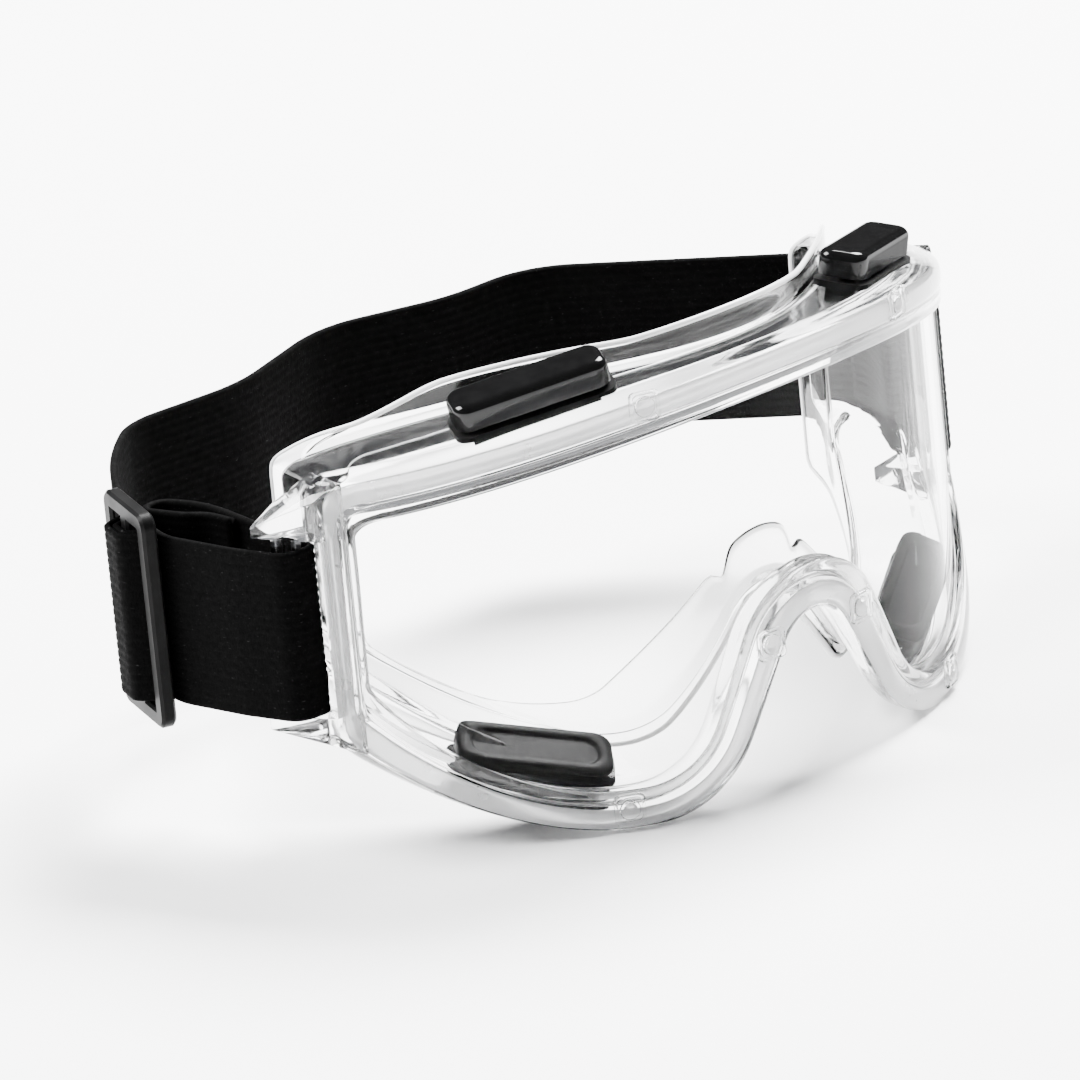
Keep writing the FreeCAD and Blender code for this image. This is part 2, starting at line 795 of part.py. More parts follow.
# Where the strap's middle layer runs, seen from above, as corners and their bend radii.
BAND_ROUTE = [
    (-81.8, 74.0, 0),
    (-83.9, 54.4, 1.6),
    (-91.2, 54.9, 4),
    (-94.6, 67.0, 25),
    (-97.4, 83.8, 15),
    (-87.3, 116.8, 95),
    (-57.6, 139.6, 16),
    (-29.0, 137.3, 40),
    (2.5, 148.0, 26),
    (30.0, 138.4, 40),
    (52.0, 138.0, 22),
    (96.0, 86.0, 22),
    (91.4, 55.0, 4),
    (83.7, 54.6, 1.6),
    (83.8, 63.9, 6),
    (91.4, 76.0, 14),
    (92.3, 83.0, 0),
]
TAIL_ROUTE = [
    (-81.1, 79.6, 0),
    (-79.8, 92.0, 22),
    (-84.0, 100.6, 4),
    (-89.6, 100.4, 2.2),
    (-86.4, 90.2, 10),
    (-83.4, 86.4, 8),
    (-83.0, 79.7, 0),
]


def left_of(heading):
    return Vector(-heading.y, heading.x, 0)


def route_edges(route, shift):
    """Straight runs joined by tangent arcs, moved to the left of the route by shift."""
    points = [Vector(x, y, 0) for x, y, _ in route]
    heading = (points[1] - points[0]).normalize()
    edges, last = [], points[0] + left_of(heading) * shift
    for corner, after, (_, _, radius) in zip(points[1:], points[2:], route[1:]):
        onward = (after - corner).normalize()
        turn = heading.getAngle(onward)
        reach = radius * math.tan(turn / 2)
        bend = (onward - heading).normalize()
        halfway = (onward + heading).normalize()
        start = corner - heading * reach + left_of(heading) * shift
        middle = corner + bend * (radius / math.cos(turn / 2) - radius) + left_of(halfway) * shift
        end = corner + onward * reach + left_of(onward) * shift
        edges.append(Part.LineSegment(last, start).toShape())
        edges.append(Part.Arc(start, middle, end).toShape())
        last, heading = end, onward
    finish = points[-1] + left_of(heading) * shift
    edges.append(Part.LineSegment(last, finish).toShape())
    return edges


def ribbon(label, route):
    """Webbing that stands on edge along a route, half its thickness each side."""
    half = size("strap_thick") / 2
    sides = [route_edges(route, half), route_edges(route, -half)]
    caps = []
    for pick, vertex in ((0, 0), (-1, -1)):
        a, b = [side[pick].Vertexes[vertex].Point for side in sides]
        caps.append(Part.LineSegment(a, b).toShape())
    length = sum(edge.Length for edge in route_edges(route, 0.0))
    profile = DOC.addObject("Part::Feature", f"{label}_profile")
    profile.Shape = Part.Face(Part.Wire(sides[0] + [caps[1]] + sides[1][::-1] + [caps[0]]))
    bind(profile, Placement__Base__z="strap_low")
    print(f"{label}: {length:.1f} mm of webbing")
    return extrude(label, profile, UP, "strap_wide")


def slider():
    """Tri-glide: a rectangular frame with a middle bar, drawn flat in its own XZ plane."""
    body = new_body("strap_slider")
    face = flat_sketch(body, "slider_face", "XZ_Plane")
    rectangle(face, "outer", "slider_long", "slider_tall")
    plate = pad(body, "slider_plate", face, "slider_thick", midplane=True)
    corner = "slider_side - slider_round"
    plate = round_edges(body, "slider_corners", plate, corner, lambda e: runs_along(e, BACK))
    window = flat_sketch(body, "slider_window", "XZ_Plane")
    rectangle(window, "window", "slider_gap", "slider_window", middle="slider_pitch")
    cut = pocket(body, "slider_window_cut", window, "slider_thick + slider_thick")
    twin = body.newObject("PartDesign::Mirrored", "slider_window_twin")
    twin.Originals = [cut]
    twin.MirrorPlane = (origin_plane(body, "YZ_Plane"), [""])
    body.Tip = twin
    DOC.recompute()
    rims = "slider_round"
    round_edges(body, "slider_edges", twin, rims, lambda e: flat_in(e, 1), kind="Chamfer")
    return body


def stitches(label, spots):
    """Rows of thread that stand across the webbing; each spot is x, y and its heading."""
    rows = []
    for index, (x, y, heading) in enumerate(spots):
        row = DOC.addObject("Part::Box", f"{label}_{index}")
        bind(row, Length="stitch_long", Width="stitch_thick", Height="stitch_tall")
        row.Placement = Placement(Vector(x, y, 0), Rotation(UP, heading))
        bind(row, Placement__Base__z="strap_low + stitch_inset")
        rows.append(row)
    group = DOC.addObject("Part::Compound", label)
    group.Links = rows
    return group


# ---------------------------------------------------------------- assembly


def seat(thing):
    """Puts a piece drawn in the goggles' frame into the object's frame."""
    bind(thing, Placement__Base__x="mirror_x", Placement__Base__y="front_y")
    return thing


def frame_body():
    half = fuse("frame_half_solid", rim_ring(), body_walls(), *face_seal(), wing())
    below = DOC.addObject("Part::Box", "below_table")
    bind(below, Length="rim_half", Width="wall_end", Height="full_front")
    bind(below, Placement__Base__z="0 - full_front")
    tools = fuse("frame_cuts", lens_groove(), *vent_seat("top"), *vent_seat("bottom"), below)
    right = join("Cut", "frame_half", half, tools)
    return fuse("frame_body", right, mirrored("frame_other_half", right))


def lens():
    disc = lens_disc("lens_disc", "0")
    shell = wrap_shell("lens_shell", "lens_setback", "lens_thick")
    right = join("Common", "lens_half", disc, shell)
    return fuse("lens", right, mirrored("lens_other_half", right))


def build():
    nodes = {"frame_body": seat(frame_body()), "lens": seat(lens())}
    shift = Placement(Vector(size("mirror_x"), size("front_y"), 0), Rotation())
    for level in VENTS:
        for hand, side in (("left", 1), ("right", -1)):
            spot = shift.multiply(vent_placement(level, side))
            for kind, maker in (("base", vent_base), ("cap", vent_cap)):
                label = f"vent_{kind}_{level}_{hand}"
                nodes[label] = maker(label)
                nodes[label].Placement = spot
    nodes["strap_band"] = seat(ribbon("strap_band", BAND_ROUTE))
    nodes["strap_tail"] = seat(ribbon("strap_tail", TAIL_ROUTE))
    nodes["strap_slider"] = slider()
    nodes["strap_slider"].Placement = shift.multiply(slider_placement())
    nodes["tail_stitching"] = seat(stitches("tail_stitching", TAIL_STITCHES))
    nodes["end_stitching"] = seat(stitches("end_stitching", END_STITCHES))
    DOC.recompute()
    return nodes


def check(nodes):
    for thing in DOC.Objects:
        if "Invalid" in thing.State or "Error" in thing.State:
            raise ValueError(f"{thing.Label} failed: {thing.State}")
    for label, thing in nodes.items():
        if thing.Shape.isNull() or not thing.Shape.isValid():
            raise ValueError(f"{label} has no valid shape")


def main():
    nodes = build()
    check(nodes)
    os.makedirs("parts", exist_ok=True)
    for label, thing in nodes.items():
        thing.Shape.exportStep(f"parts/{label}.step")
        box = thing.Shape.BoundBox
        print(f"{label}: {len(thing.Shape.Solids)} solid, {thing.Shape.Volume / 1000:.2f} cm3", box)


main()
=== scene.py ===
import math

import bmesh
import bpy
from mathutils import Matrix, Vector


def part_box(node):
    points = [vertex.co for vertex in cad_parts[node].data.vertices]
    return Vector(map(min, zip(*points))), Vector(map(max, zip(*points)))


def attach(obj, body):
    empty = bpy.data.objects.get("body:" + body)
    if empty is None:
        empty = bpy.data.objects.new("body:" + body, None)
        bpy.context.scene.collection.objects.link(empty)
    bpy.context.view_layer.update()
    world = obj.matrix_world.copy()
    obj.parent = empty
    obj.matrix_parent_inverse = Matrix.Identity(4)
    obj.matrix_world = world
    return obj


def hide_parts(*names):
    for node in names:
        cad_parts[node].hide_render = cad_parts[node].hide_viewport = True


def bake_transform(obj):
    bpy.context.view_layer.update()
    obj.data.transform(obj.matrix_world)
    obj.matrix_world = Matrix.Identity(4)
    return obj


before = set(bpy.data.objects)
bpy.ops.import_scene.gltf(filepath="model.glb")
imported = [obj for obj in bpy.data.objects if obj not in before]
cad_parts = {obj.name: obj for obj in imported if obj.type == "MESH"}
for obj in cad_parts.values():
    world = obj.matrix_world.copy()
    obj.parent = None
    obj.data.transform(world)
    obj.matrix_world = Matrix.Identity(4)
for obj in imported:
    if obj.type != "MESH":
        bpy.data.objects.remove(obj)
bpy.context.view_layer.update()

MM = 0.001
LENS_LOW, LENS_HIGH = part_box("lens")
SHIFT = Vector(((LENS_LOW.x + LENS_HIGH.x) / 2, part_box("frame_body")[0].y, 0))


def place(point):
    return Vector(point) * MM + SHIFT


def mix(a, b, share):
    return a + (b - a) * share


# ---------------------------------------------------------------- mesh helpers


def new_piece(name, mesh, material, body="goggles", levels=0):
    mesh.materials.append(material)
    mesh.shade_smooth()
    piece = bpy.data.objects.new(name, mesh)
    bpy.context.scene.collection.objects.link(piece)
    if levels:
        smooth = piece.modifiers.new("smooth", "SUBSURF")
        smooth.levels = smooth.render_levels = levels
    if body:
        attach(piece, body)
    return piece


def tube_mesh(name, sections, ring=False, uv=None):
    """Skin over closed sections of equal length; ring joins the last section to the first."""
    build = bmesh.new()
    rows = [[build.verts.new(place(p)) for p in section] for section in sections]
    count, wide = len(rows), len(rows[0])
    layer = build.loops.layers.uv.new("weave") if uv else None
    for i in range(count if ring else count - 1):
        for j in range(wide):
            spots = [(i, j), (i, j + 1), (i + 1, j + 1), (i + 1, j)]
            face = build.faces.new([rows[a % count][b % wide] for a, b in spots])
            if uv:
                for loop, (a, b) in zip(face.loops, spots):
                    loop[layer].uv = uv(a, b)
    if not ring:
        build.faces.new(rows[0][::-1])
        build.faces.new(rows[-1])
    bmesh.ops.recalc_face_normals(build, faces=build.faces)
    mesh = bpy.data.meshes.new(name)
    build.to_mesh(mesh)
    build.free()
    return mesh


# ---------------------------------------------------------------- materials


# the colour sockets of a Mix node, which has others of the same names for numbers and vectors
COLOUR_INPUTS, COLOUR_OUTPUT = (6, 7), 2


class Look:
    """A procedural material: one Principled surface and the nodes that vary it."""

    def __init__(self, name, **settings):
        self.material = bpy.data.materials.new(name)
        self.material.use_nodes = True
        self.tree = self.material.node_tree
        self.surface = self.tree.nodes["Principled BSDF"]
        for socket, value in settings.items():
            self.surface.inputs[socket.replace("_", " ")].default_value = value
        self.height = None

    def add(self, kind, **settings):
        node = self.tree.nodes.new(f"ShaderNode{kind}")
        for key, value in settings.items():
            if key in node.inputs:
                node.inputs[key].default_value = value
            else:
                setattr(node, key, value)
        return node

    def link(self, source, target):
        self.tree.links.new(source, target)

    def noise(self, scale, stretch=(1, 1, 1), coordinate="Object", detail=4.0):
        """Noise whose cells are about 1/scale metres, drawn out by stretch."""
        where = self.add("TexCoord")
        turn = self.add("Mapping", Scale=stretch)
        noise = self.add("TexNoise", Scale=scale, Detail=detail)
        self.link(where.outputs[coordinate], turn.inputs["Vector"])
        self.link(turn.outputs["Vector"], noise.inputs["Vector"])
        return noise.outputs["Fac"]

    def spread(self, value, low, high, start=0.3, stop=0.7):
        """Maps a value from start..stop to low..high."""
        ramp = self.add("MapRange")
        bounds = {"From Min": start, "From Max": stop, "To Min": low, "To Max": high}
        for name, number in bounds.items():
            ramp.inputs[name].default_value = number
        self.link(value, ramp.inputs["Value"])
        return ramp.outputs["Result"]

    def vary(self, socket, value, low, high, start=0.3, stop=0.7):
        self.link(self.spread(value, low, high, start, stop), self.surface.inputs[socket])

    def blend(self, value, first, second, start=0.3, stop=0.7):
        """Colours the surface from first to second as value rises."""
        mixed = self.add("Mix", data_type="RGBA")
        self.link(self.spread(value, 0, 1, start, stop), mixed.inputs["Factor"])
        for socket, colour in zip(COLOUR_INPUTS, (first, second)):
            mixed.inputs[socket].default_value = colour
        self.link(mixed.outputs[COLOUR_OUTPUT], self.surface.inputs["Base Color"])

    def dull_grazing(self, facing, grazing):
        """Lowers the gloss from facing to grazing as the surface turns away from the eye."""
        turned = self.add("LayerWeight", Blend=0.5).outputs["Facing"]
        self.vary("Specular IOR Level", turned, facing, grazing)

    def relief(self, value, depth, strength=1.0):
        """Adds a bump of the given depth in metres."""
        bump = self.add("Bump", Strength=strength, Distance=depth)
        self.link(value, bump.inputs["Height"])
        if self.height:
            self.link(self.height, bump.inputs["Normal"])
        self.height = bump.outputs["Normal"]
        self.link(self.height, self.surface.inputs["Normal"])


def grey(value):
    return (value, value, value, 1)


def vinyl_look():
    """Clear soft vinyl: glossy, faintly uneven from the mould."""
    look = Look("clear_vinyl", Transmission_Weight=1.0, IOR=1.33, Base_Color=grey(0.975))
    look.vary("Roughness", look.noise(900), 0.03, 0.09)
    look.relief(look.noise(120, detail=2.0), 0.00016, 0.5)
    look.relief(look.noise(1500), 0.00001, 0.3)
    return look.material


def bead_look():
    """The seal's thin edge, painted white as a painted highlight where the soft vinyl pipes light
    along itself.
    """
    look = Look("painted_highlight_vinyl", Transmission_Weight=0.25, IOR=1.47)
    # painted highlight: this near-white colour stands in for light caught along the thin edge
    look.blend(look.noise(150), grey(0.93), grey(0.97))
    look.vary("Roughness", look.noise(900), 0.14, 0.24)
    look.relief(look.noise(200, detail=2.0), 0.0001, 0.4)
    return look.material


def haze_look():
    """The inside of the thick rim, where the vinyl is cloudy."""
    look = Look("cloudy_vinyl", Transmission_Weight=0.55, IOR=1.33)
    look.blend(look.noise(60), grey(0.88), grey(0.97))
    look.vary("Roughness", look.noise(120), 0.25, 0.45)
    look.relief(look.noise(90, detail=2.0), 0.0001, 0.4)
    return look.material


def lens_look():
    """Polished polycarbonate with faint handling haze."""
    look = Look("clear_lens", Transmission_Weight=1.0, IOR=1.07, Base_Color=grey(0.985))
    look.vary("Roughness", look.noise(60), 0.0, 0.035, 0.45, 0.75)
    look.relief(look.noise(40, detail=1.0), 0.00005, 0.15)
    return look.material


def cap_look():
    """Glossy black moulding."""
    look = Look("vent_cap_black", IOR=1.5)
    look.dull_grazing(0.22, 0.004)
    look.blend(look.noise(300), grey(0.0012), grey(0.0024))
    look.vary("Roughness", look.noise(700), 0.07, 0.14)
    look.relief(look.noise(250, detail=2.0), 0.00006, 0.4)
    return look.material


def base_look():
    """Dark grey satin moulding with a fine spark-eroded grain."""
    look = Look("vent_base_grey", IOR=1.2, Specular_IOR_Level=0.15)
    look.blend(look.noise(400), grey(0.006), grey(0.01))
    look.vary("Roughness", look.noise(1200), 0.42, 0.6)
    look.relief(look.noise(2600), 0.00003, 0.6)
    return look.material


def slider_look():
    """Black satin plastic, a little polished where hands rub it."""
    look = Look("slider_black", IOR=1.22, Specular_IOR_Level=0.2)
    look.blend(look.noise(200), grey(0.0015), grey(0.004))
    look.vary("Roughness", look.noise(90), 0.36, 0.5)
    look.relief(look.noise(3000), 0.00002, 0.5)
    return look.material


def webbing_look():
    """Black elastic webbing: rubber ribs under knitted yarn, with sparse pale specks."""
    look = Look("elastic_webbing", IOR=1.15, Specular_IOR_Level=0.2)
    specks = look.noise(2400, (0.35, 1, 1), "UV", detail=1.0)
    look.blend(specks, grey(0.0005), grey(0.014), 0.7, 0.82)
    look.vary("Roughness", look.noise(800, coordinate="UV"), 0.7, 0.9)
    look.relief(look.noise(1600, (1.6, 0.7, 1), "UV"), 0.00018, 0.7)
    return look.material


def thread_look():
    """Black sewing thread, finely twisted."""
    look = Look("black_thread", IOR=1.2, Specular_IOR_Level=0.2)
    look.blend(look.noise(3000), grey(0.002), grey(0.006))
    look.vary("Roughness", look.noise(2500), 0.5, 0.75)
    look.relief(look.noise(5000, (1, 1, 0.3)), 0.00006, 0.8)
    return look.material


VINYL, BEAD, HAZE, LENS = vinyl_look(), bead_look(), haze_look(), lens_look()
CAP, BASE = cap_look(), base_look()
PLASTIC, WEBBING, THREAD = slider_look(), webbing_look(), thread_look()


# ---------------------------------------------------------------- outlines of the clear frame

CHIN_X = 40.0
WALL_THICK = 2.2
# points on each stretch of half an outline: brow, corner, side, cheek, chin, nose, bridge
STRETCHES = (24, 6, 14, 16, 10, 9, 10)
# Half width, height of the brow and radius of its arch, height where the side ends, lowest
# height, radii of the chin's and the nose's arcs, height of the bridge, and corner radius.
OUTLINES = {
    "rim": dict(
        half=82.5, peak=92.4, arch=237.0, foot=22.1, low=-0.4, chin=24.7, nose=9.6, bridge=35.2
    ),
    "opening": dict(
        half=80.3, peak=83.8, arch=228.4, foot=35.1, low=7.9, chin=16.4, nose=19.6, bridge=45.2
    ),
    "wall_front": dict(
        half=96.4, peak=91.2, arch=237.0, foot=20.5, low=0.6, chin=24.0, nose=10.0, bridge=35.0
    ),
    "wall_rear": dict(
        half=69.6, peak=97.0, arch=131.0, foot=45.0, low=40.0, chin=18.0, nose=14.0, bridge=60.0
    ),
    "seal": dict(
        half=73.0, peak=98.0, arch=150.0, foot=26.0, low=12.5, chin=18.0, nose=9.6, bridge=39.0,
        corner=10.0,
    ),
    "face": dict(
        half=66.0, peak=89.5, arch=150.0, foot=36.0, low=21.0, chin=9.6, nose=14.0, bridge=50.0
    ),
}


def bend(centre, radius, first, last, count):
    """Points round an arc the short way, first included and last left out."""
    start = math.atan2(first.y - centre.y, first.x - centre.x)
    turn = (first - centre).angle_signed(last - centre)
    angles = [start - turn * n / count for n in range(count)]
    return [centre + Vector((math.cos(a), math.sin(a))) * radius for a in angles]


def run(first, last, count):
    return [first.lerp(last, n / count) for n in range(count)]


def half_outline(half, peak, arch, foot, low, chin, nose, bridge, corner=5.0):
    """Points (x, z) from the brow's crown round to the bridge of the nose."""
    arch_mid = Vector((0, peak - arch))
    corner_x = half - corner
    corner_z = arch_mid.y + math.sqrt((arch - corner) ** 2 - corner_x**2)
    corner_mid = Vector((corner_x, corner_z))
    arch_end = arch_mid + (corner_mid - arch_mid) * (arch / (arch - corner))
    crown, bottom = Vector((0, peak)), Vector((CHIN_X, low))
    side_top, side_foot = Vector((half, corner_z)), Vector((half, foot))
    rise = foot - low
    cheek = ((half - CHIN_X) ** 2 + rise**2) / (2 * rise)
    cheek_mid, chin_mid = Vector((CHIN_X, low + cheek)), Vector((CHIN_X, low + chin))
    nose_mid, saddle = Vector((0, bridge - nose)), Vector((0, bridge))
    between = chin_mid - nose_mid
    normal = between.normalized()
    normal.rotate(Matrix.Rotation(math.acos((chin + nose) / between.length), 2))
    chin_end, nose_end = chin_mid - normal * chin, nose_mid + normal * nose
    steps = iter(STRETCHES)
    points = bend(arch_mid, arch, crown, arch_end, next(steps))
    points += bend(corner_mid, corner, arch_end, side_top, next(steps))
    points += run(side_top, side_foot, next(steps))
    points += bend(cheek_mid, cheek, side_foot, bottom, next(steps))
    points += bend(chin_mid, chin, bottom, chin_end, next(steps))
    points += run(chin_end, nose_end, next(steps))
    points += bend(nose_mid, nose, nose_end, saddle, next(steps))
    return points + [saddle]


def loop(name, inset=0.0):
    """The whole outline, drawn in by inset: down the left half, up the right one."""
    sizes = dict(OUTLINES[name])
    for part in ("half", "peak", "arch", "chin"):
        sizes[part] -= inset
    for part in ("foot", "low", "nose", "bridge"):
        sizes[part] += inset
    left = half_outline(**sizes)
    return left + [Vector((-p.x, p.y)) for p in left[-2:0:-1]]


RIM, OPENING = loop("rim"), loop("opening")
SEAL, FACE = loop("seal"), loop("face")
STATIONS = range(len(RIM))
WALLS = {
    "outer": (loop("wall_front"), loop("wall_rear")),
    "inner": (loop("wall_front", WALL_THICK), loop("wall_rear", WALL_THICK)),
}

# ---------------------------------------------------------------- surfaces of the clear frame

# radius, seen from above, of the rim's front face
WRAP = 95.0
RIM_DEPTH = 7.5
# how far back the rim reaches at the temples, and how much less at the lens opening
RIM_BACK, RIM_BEVEL = 57.0, 1.6
# the wall's shape is drawn from one depth to the other, but only part of it is built
WALL_START, WALL_END = 5.0, 85.0
RIM_TO_WALL = 1.0
# rounds that settle where a wall starts, and halvings that find where it ends
SETTLINGS, HALVINGS = 12, 30
# how far back the walls run at the temples, where the seal carries on as a thin lip
WALL_LAST = 68.0
SEAL_Y = 15.5
SEAL_THICK = 1.1
# radius and degrees of the seal's arcs, seen from above, from the nose to the temple
SEAL_ARCS = ((45.0, 30.0), (130.0, 29.0), (30.0, 24.0))
SEAL_MARGIN = 0.01


def seal_arcs():
    """Centre, radius and outer end of each arc of the face seal, seen from above."""
    arcs, point, lean = [], Vector((0, SEAL_Y)), 0.0
    for radius, span in SEAL_ARCS:
        mid = point + Vector((-math.sin(lean), math.cos(lean))) * radius
        lean += math.radians(span)
        point = mid + Vector((math.sin(lean), -math.cos(lean))) * radius
        arcs.append((mid, radius, point.x))
    return arcs


ARCS = seal_arcs()


def on_seal(spot, depth=0.0):
    """Point of the face seal at (x, z), sunk by depth towards the face."""
    x = min(abs(spot.x), ARCS[-1][2] - SEAL_MARGIN)
    mid, radius, _ = next(arc for arc in ARCS if x <= arc[2])
    y = mid.y - math.sqrt(radius**2 - (x - mid.x) ** 2)
    inward = (mid - Vector((x, y))) / radius
    side = math.copysign(1, spot.x)
    return Vector((side * (x + inward.x * depth), y + inward.y * depth, spot.y))


def wrap_y(x, depth):
    return WRAP - math.sqrt(max((WRAP - depth) ** 2 - x**2, 0.0))


def on_rim(station, across, depth):
    """Point of the rim: across is 0 at its outer edge and 1 at the lens opening."""
    spot = RIM[station].lerp(OPENING[station], across)
    y = min(wrap_y(spot.x, depth), RIM_BACK - RIM_BEVEL * across)
    return Vector((spot.x, y, max(spot.y, 0.0)))


def wall_spot(face, station, share):
    front, rear = WALLS[face]
    spot = front[station].lerp(rear[station], share)
    return Vector((spot.x, mix(WALL_START, WALL_END, share), spot.y))


def wall_span(face, station):
    """Where along its run the wall leaves the rim and where it meets the face seal."""
    start = 0.0
    for _ in range(SETTLINGS):
        x = wall_spot(face, station, start).x
        depth = min(wrap_y(x, RIM_DEPTH), RIM_BACK) + RIM_TO_WALL
        start = (depth - WALL_START) / (WALL_END - WALL_START)
    low, high = start, 1.0
    for _ in range(HALVINGS):
        middle = (low + high) / 2
        point = wall_spot(face, station, middle)
        beyond = abs(point.x) > ARCS[-1][2] or point.y < on_seal(Vector((point.x, point.z))).y
        low, high = (middle, high) if beyond and point.y < WALL_LAST else (low, middle)
    return start, low


# ---------------------------------------------------------------- section of the clear frame

# across and depth of the rim's section, from its outer rear edge round to its inner one
RIM_SECTION = (
    (0.0, 7.5), (0.0, 4.4), (0.0, 1.4), (0.05, 0.4), (0.16, 0.0), (0.46, 0.0), (0.52, 0.5),
    (0.6, 0.62), (0.66, 0.3), (0.86, 0.3), (0.97, 0.7), (1.0, 1.3), (1.0, 2.1), (0.96, 2.35),
    (0.6, 2.3), (0.6, 4.5), (0.96, 4.45), (1.0, 4.8), (1.0, 5.8), (0.93, 6.6), (0.72, 7.5),
)
# the cloudy layer behind the rim's front face
HAZE_SECTION = ((0.08, 1.3), (0.3, 1.1), (0.54, 1.4), (0.54, 2.2), (0.3, 2.4), (0.08, 2.2))
WALL_SHARES = (0.0, 0.12, 0.35, 0.62, 0.86, 0.96)
BEAD_RADIUS = 0.62
BEAD_POINTS = 12
LEAST_FLANGE = 3.0
# where the flange stops standing clear of the wall and becomes the temple lip
LIP_X, LIP_FADE = 70.0, 10.0
# the slit beside the nose: its place, its width and the share of the flange it cuts
SLIT_X, SLIT_Z, SLIT_WIDE, SLIT_CUT = 10.6, 47.0, 1.7, 0.85
# The section's points run from the wall's inner face over a fold to the flange's front, round
# its lip, along its rear face to the edge, and back along the outside to the wall.
FOLD_START = 0.12
FOLD_SHARES, FRONT_SHARES = (0.45, 0.85, 1.0), (0.18, 0.5, 0.9)
LIP_DEPTHS, REAR_SHARES = (0.3, 0.8), (0.08, 0.3, 0.55, 0.75)
EDGE_INSET, EDGE_DEPTHS, OUTSIDE_SHARES = 0.2, (0.85, 0.25), (0.3, 0.6, 0.88)


def seal_edges(station, outer, inner):
    """Outer and inner edge (x, z) of the flange, with a slit each side of the nose."""
    out = (outer - inner).normalized()
    edge = SEAL[station].copy()
    short = LEAST_FLANGE - (edge - outer).dot(out)
    if short > 0:
        edge += out * short * min(max((LIP_X - abs(outer.x)) / LIP_FADE, 0.0), 1.0)
    lip = FACE[station].copy()
    away = (Vector((abs(lip.x), lip.y)) - Vector((SLIT_X, SLIT_Z))).length / SLIT_WIDE
    return edge, lip.lerp(inner, SLIT_CUT * math.exp(-away * away))


def seal_border(edge, lip):
    """Point on the seal's edge, then unit steps along the seal and into its thickness."""
    foot = on_seal(edge)
    return foot, (on_seal(lip) - foot).normalized(), on_seal(edge, 1.0) - foot


def wall_lines(station):
    """Points of the wall's outer and inner face, front to back, and their rear ends."""
    ends = {}
    for face in WALLS:
        start, stop = wall_span(face, station)
        ends[face] = [wall_spot(face, station, mix(start, stop, s)) for s in WALL_SHARES + (1.0,)]
    outer, inner = (Vector((ends[f][-1].x, ends[f][-1].z)) for f in ("outer", "inner"))
    return ends, outer, inner


def bead_section(station):
    _, outer, inner = wall_lines(station)
    foot, along, deep = seal_border(*seal_edges(station, outer, inner))
    middle = foot + along * BEAD_RADIUS + deep * SEAL_THICK / 2
    turns = [2 * math.pi * n / BEAD_POINTS for n in range(BEAD_POINTS)]
    return [middle + (along * math.cos(a) + deep * math.sin(a)) * BEAD_RADIUS for a in turns]


def section(station):
    ends, outer, inner = wall_lines(station)
    edge, lip = seal_edges(station, outer, inner)
    foot, along, deep = seal_border(edge, lip)
    points = [on_rim(station, *spot) for spot in RIM_SECTION]
    points += ends["inner"][:-1]
    fold = on_seal(inner.lerp(lip, FOLD_START))
    points += [ends["inner"][-1].lerp(fold, share) for share in FOLD_SHARES]
    points += [on_seal(inner.lerp(lip, share)) for share in FRONT_SHARES]
    points += [on_seal(lip, depth) for depth in LIP_DEPTHS]
    points += [on_seal(lip.lerp(edge, share), SEAL_THICK) for share in REAR_SHARES]
    points += [foot + along * EDGE_INSET + deep * depth for depth in EDGE_DEPTHS]
    points += [foot.lerp(ends["outer"][-1], share) for share in OUTSIDE_SHARES]
    return points + ends["outer"][-2::-1]


def clear_frame():
    mesh = tube_mesh("clear_frame", [section(k) for k in STATIONS], ring=True)
    piece = new_piece("clear_frame", mesh, VINYL, levels=1)
    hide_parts("frame_body")
    mesh = tube_mesh("seal_bead", [bead_section(k) for k in STATIONS], ring=True)
    # the bead carries the painted highlight material
    new_piece("seal_bead", mesh, BEAD, levels=1)
    sections = [[on_rim(k, *spot) for spot in HAZE_SECTION] for k in STATIONS]
    new_piece("rim_haze", tube_mesh("rim_haze", sections, ring=True), HAZE, levels=1)


# ---------------------------------------------------------------- side wings

# depths of the wing's root and tip, of its strap slot and bar, and the slot's heights
WING_ROOT, WING_TIP = 46.5, 65.4
SLOT_FRONT, SLOT_REAR, BAR_REAR = 51.6, 57.4, 61.6
SLOT_LOW, SLOT_HIGH = 28.2, 66.0
BAR_INNER, BAR_SHARE = 85.3, 0.7
# at the root and at the tip: heights of the top edge along the wall and along the outer face,
# height of the lower edge, and the outer face's distance from the mirror plane
TOP_INNER, TOP_OUTER = (78.6, 76.0), (77.0, 68.4)
LOW_EDGE, OUTER_FACE = (21.0, 25.0), (82.3, 90.6)
# how deep the wing sits in the wall, and how far its rear edge sweeps forward
WING_SUNK = 0.8
TIP_SWEEP = (3.4, 1.4, 0.0)
# width, steps and least angle of the rounding of its edges
WING_ROUND, ROUND_STEPS, ROUND_ANGLE = 0.9, 3, math.radians(20)


def wing_corner(side, i, j, k):
    """Corner i back, j up and k out of the wing's lattice of cells."""
    y = (WING_ROOT, SLOT_FRONT, SLOT_REAR, BAR_REAR, WING_TIP)[i]
    back = (y - WING_ROOT) / (WING_TIP - WING_ROOT)
    top = mix(mix(*TOP_INNER, back), mix(*TOP_OUTER, back), k / 2)
    z = (mix(*LOW_EDGE, back), SLOT_LOW, SLOT_HIGH, top)[j]
    outer = mix(*OUTER_FACE, back)
    wall = (OUTLINES["wall_front"]["half"], OUTLINES["wall_rear"]["half"])
    inner = mix(*wall, (y - WALL_START) / (WALL_END - WALL_START)) - WING_SUNK
    x = (inner, min(BAR_INNER, mix(inner, outer, BAR_SHARE)), outer)[k]
    if i == 4:
        y -= TIP_SWEEP[k]
    return place((side * x, y, z))


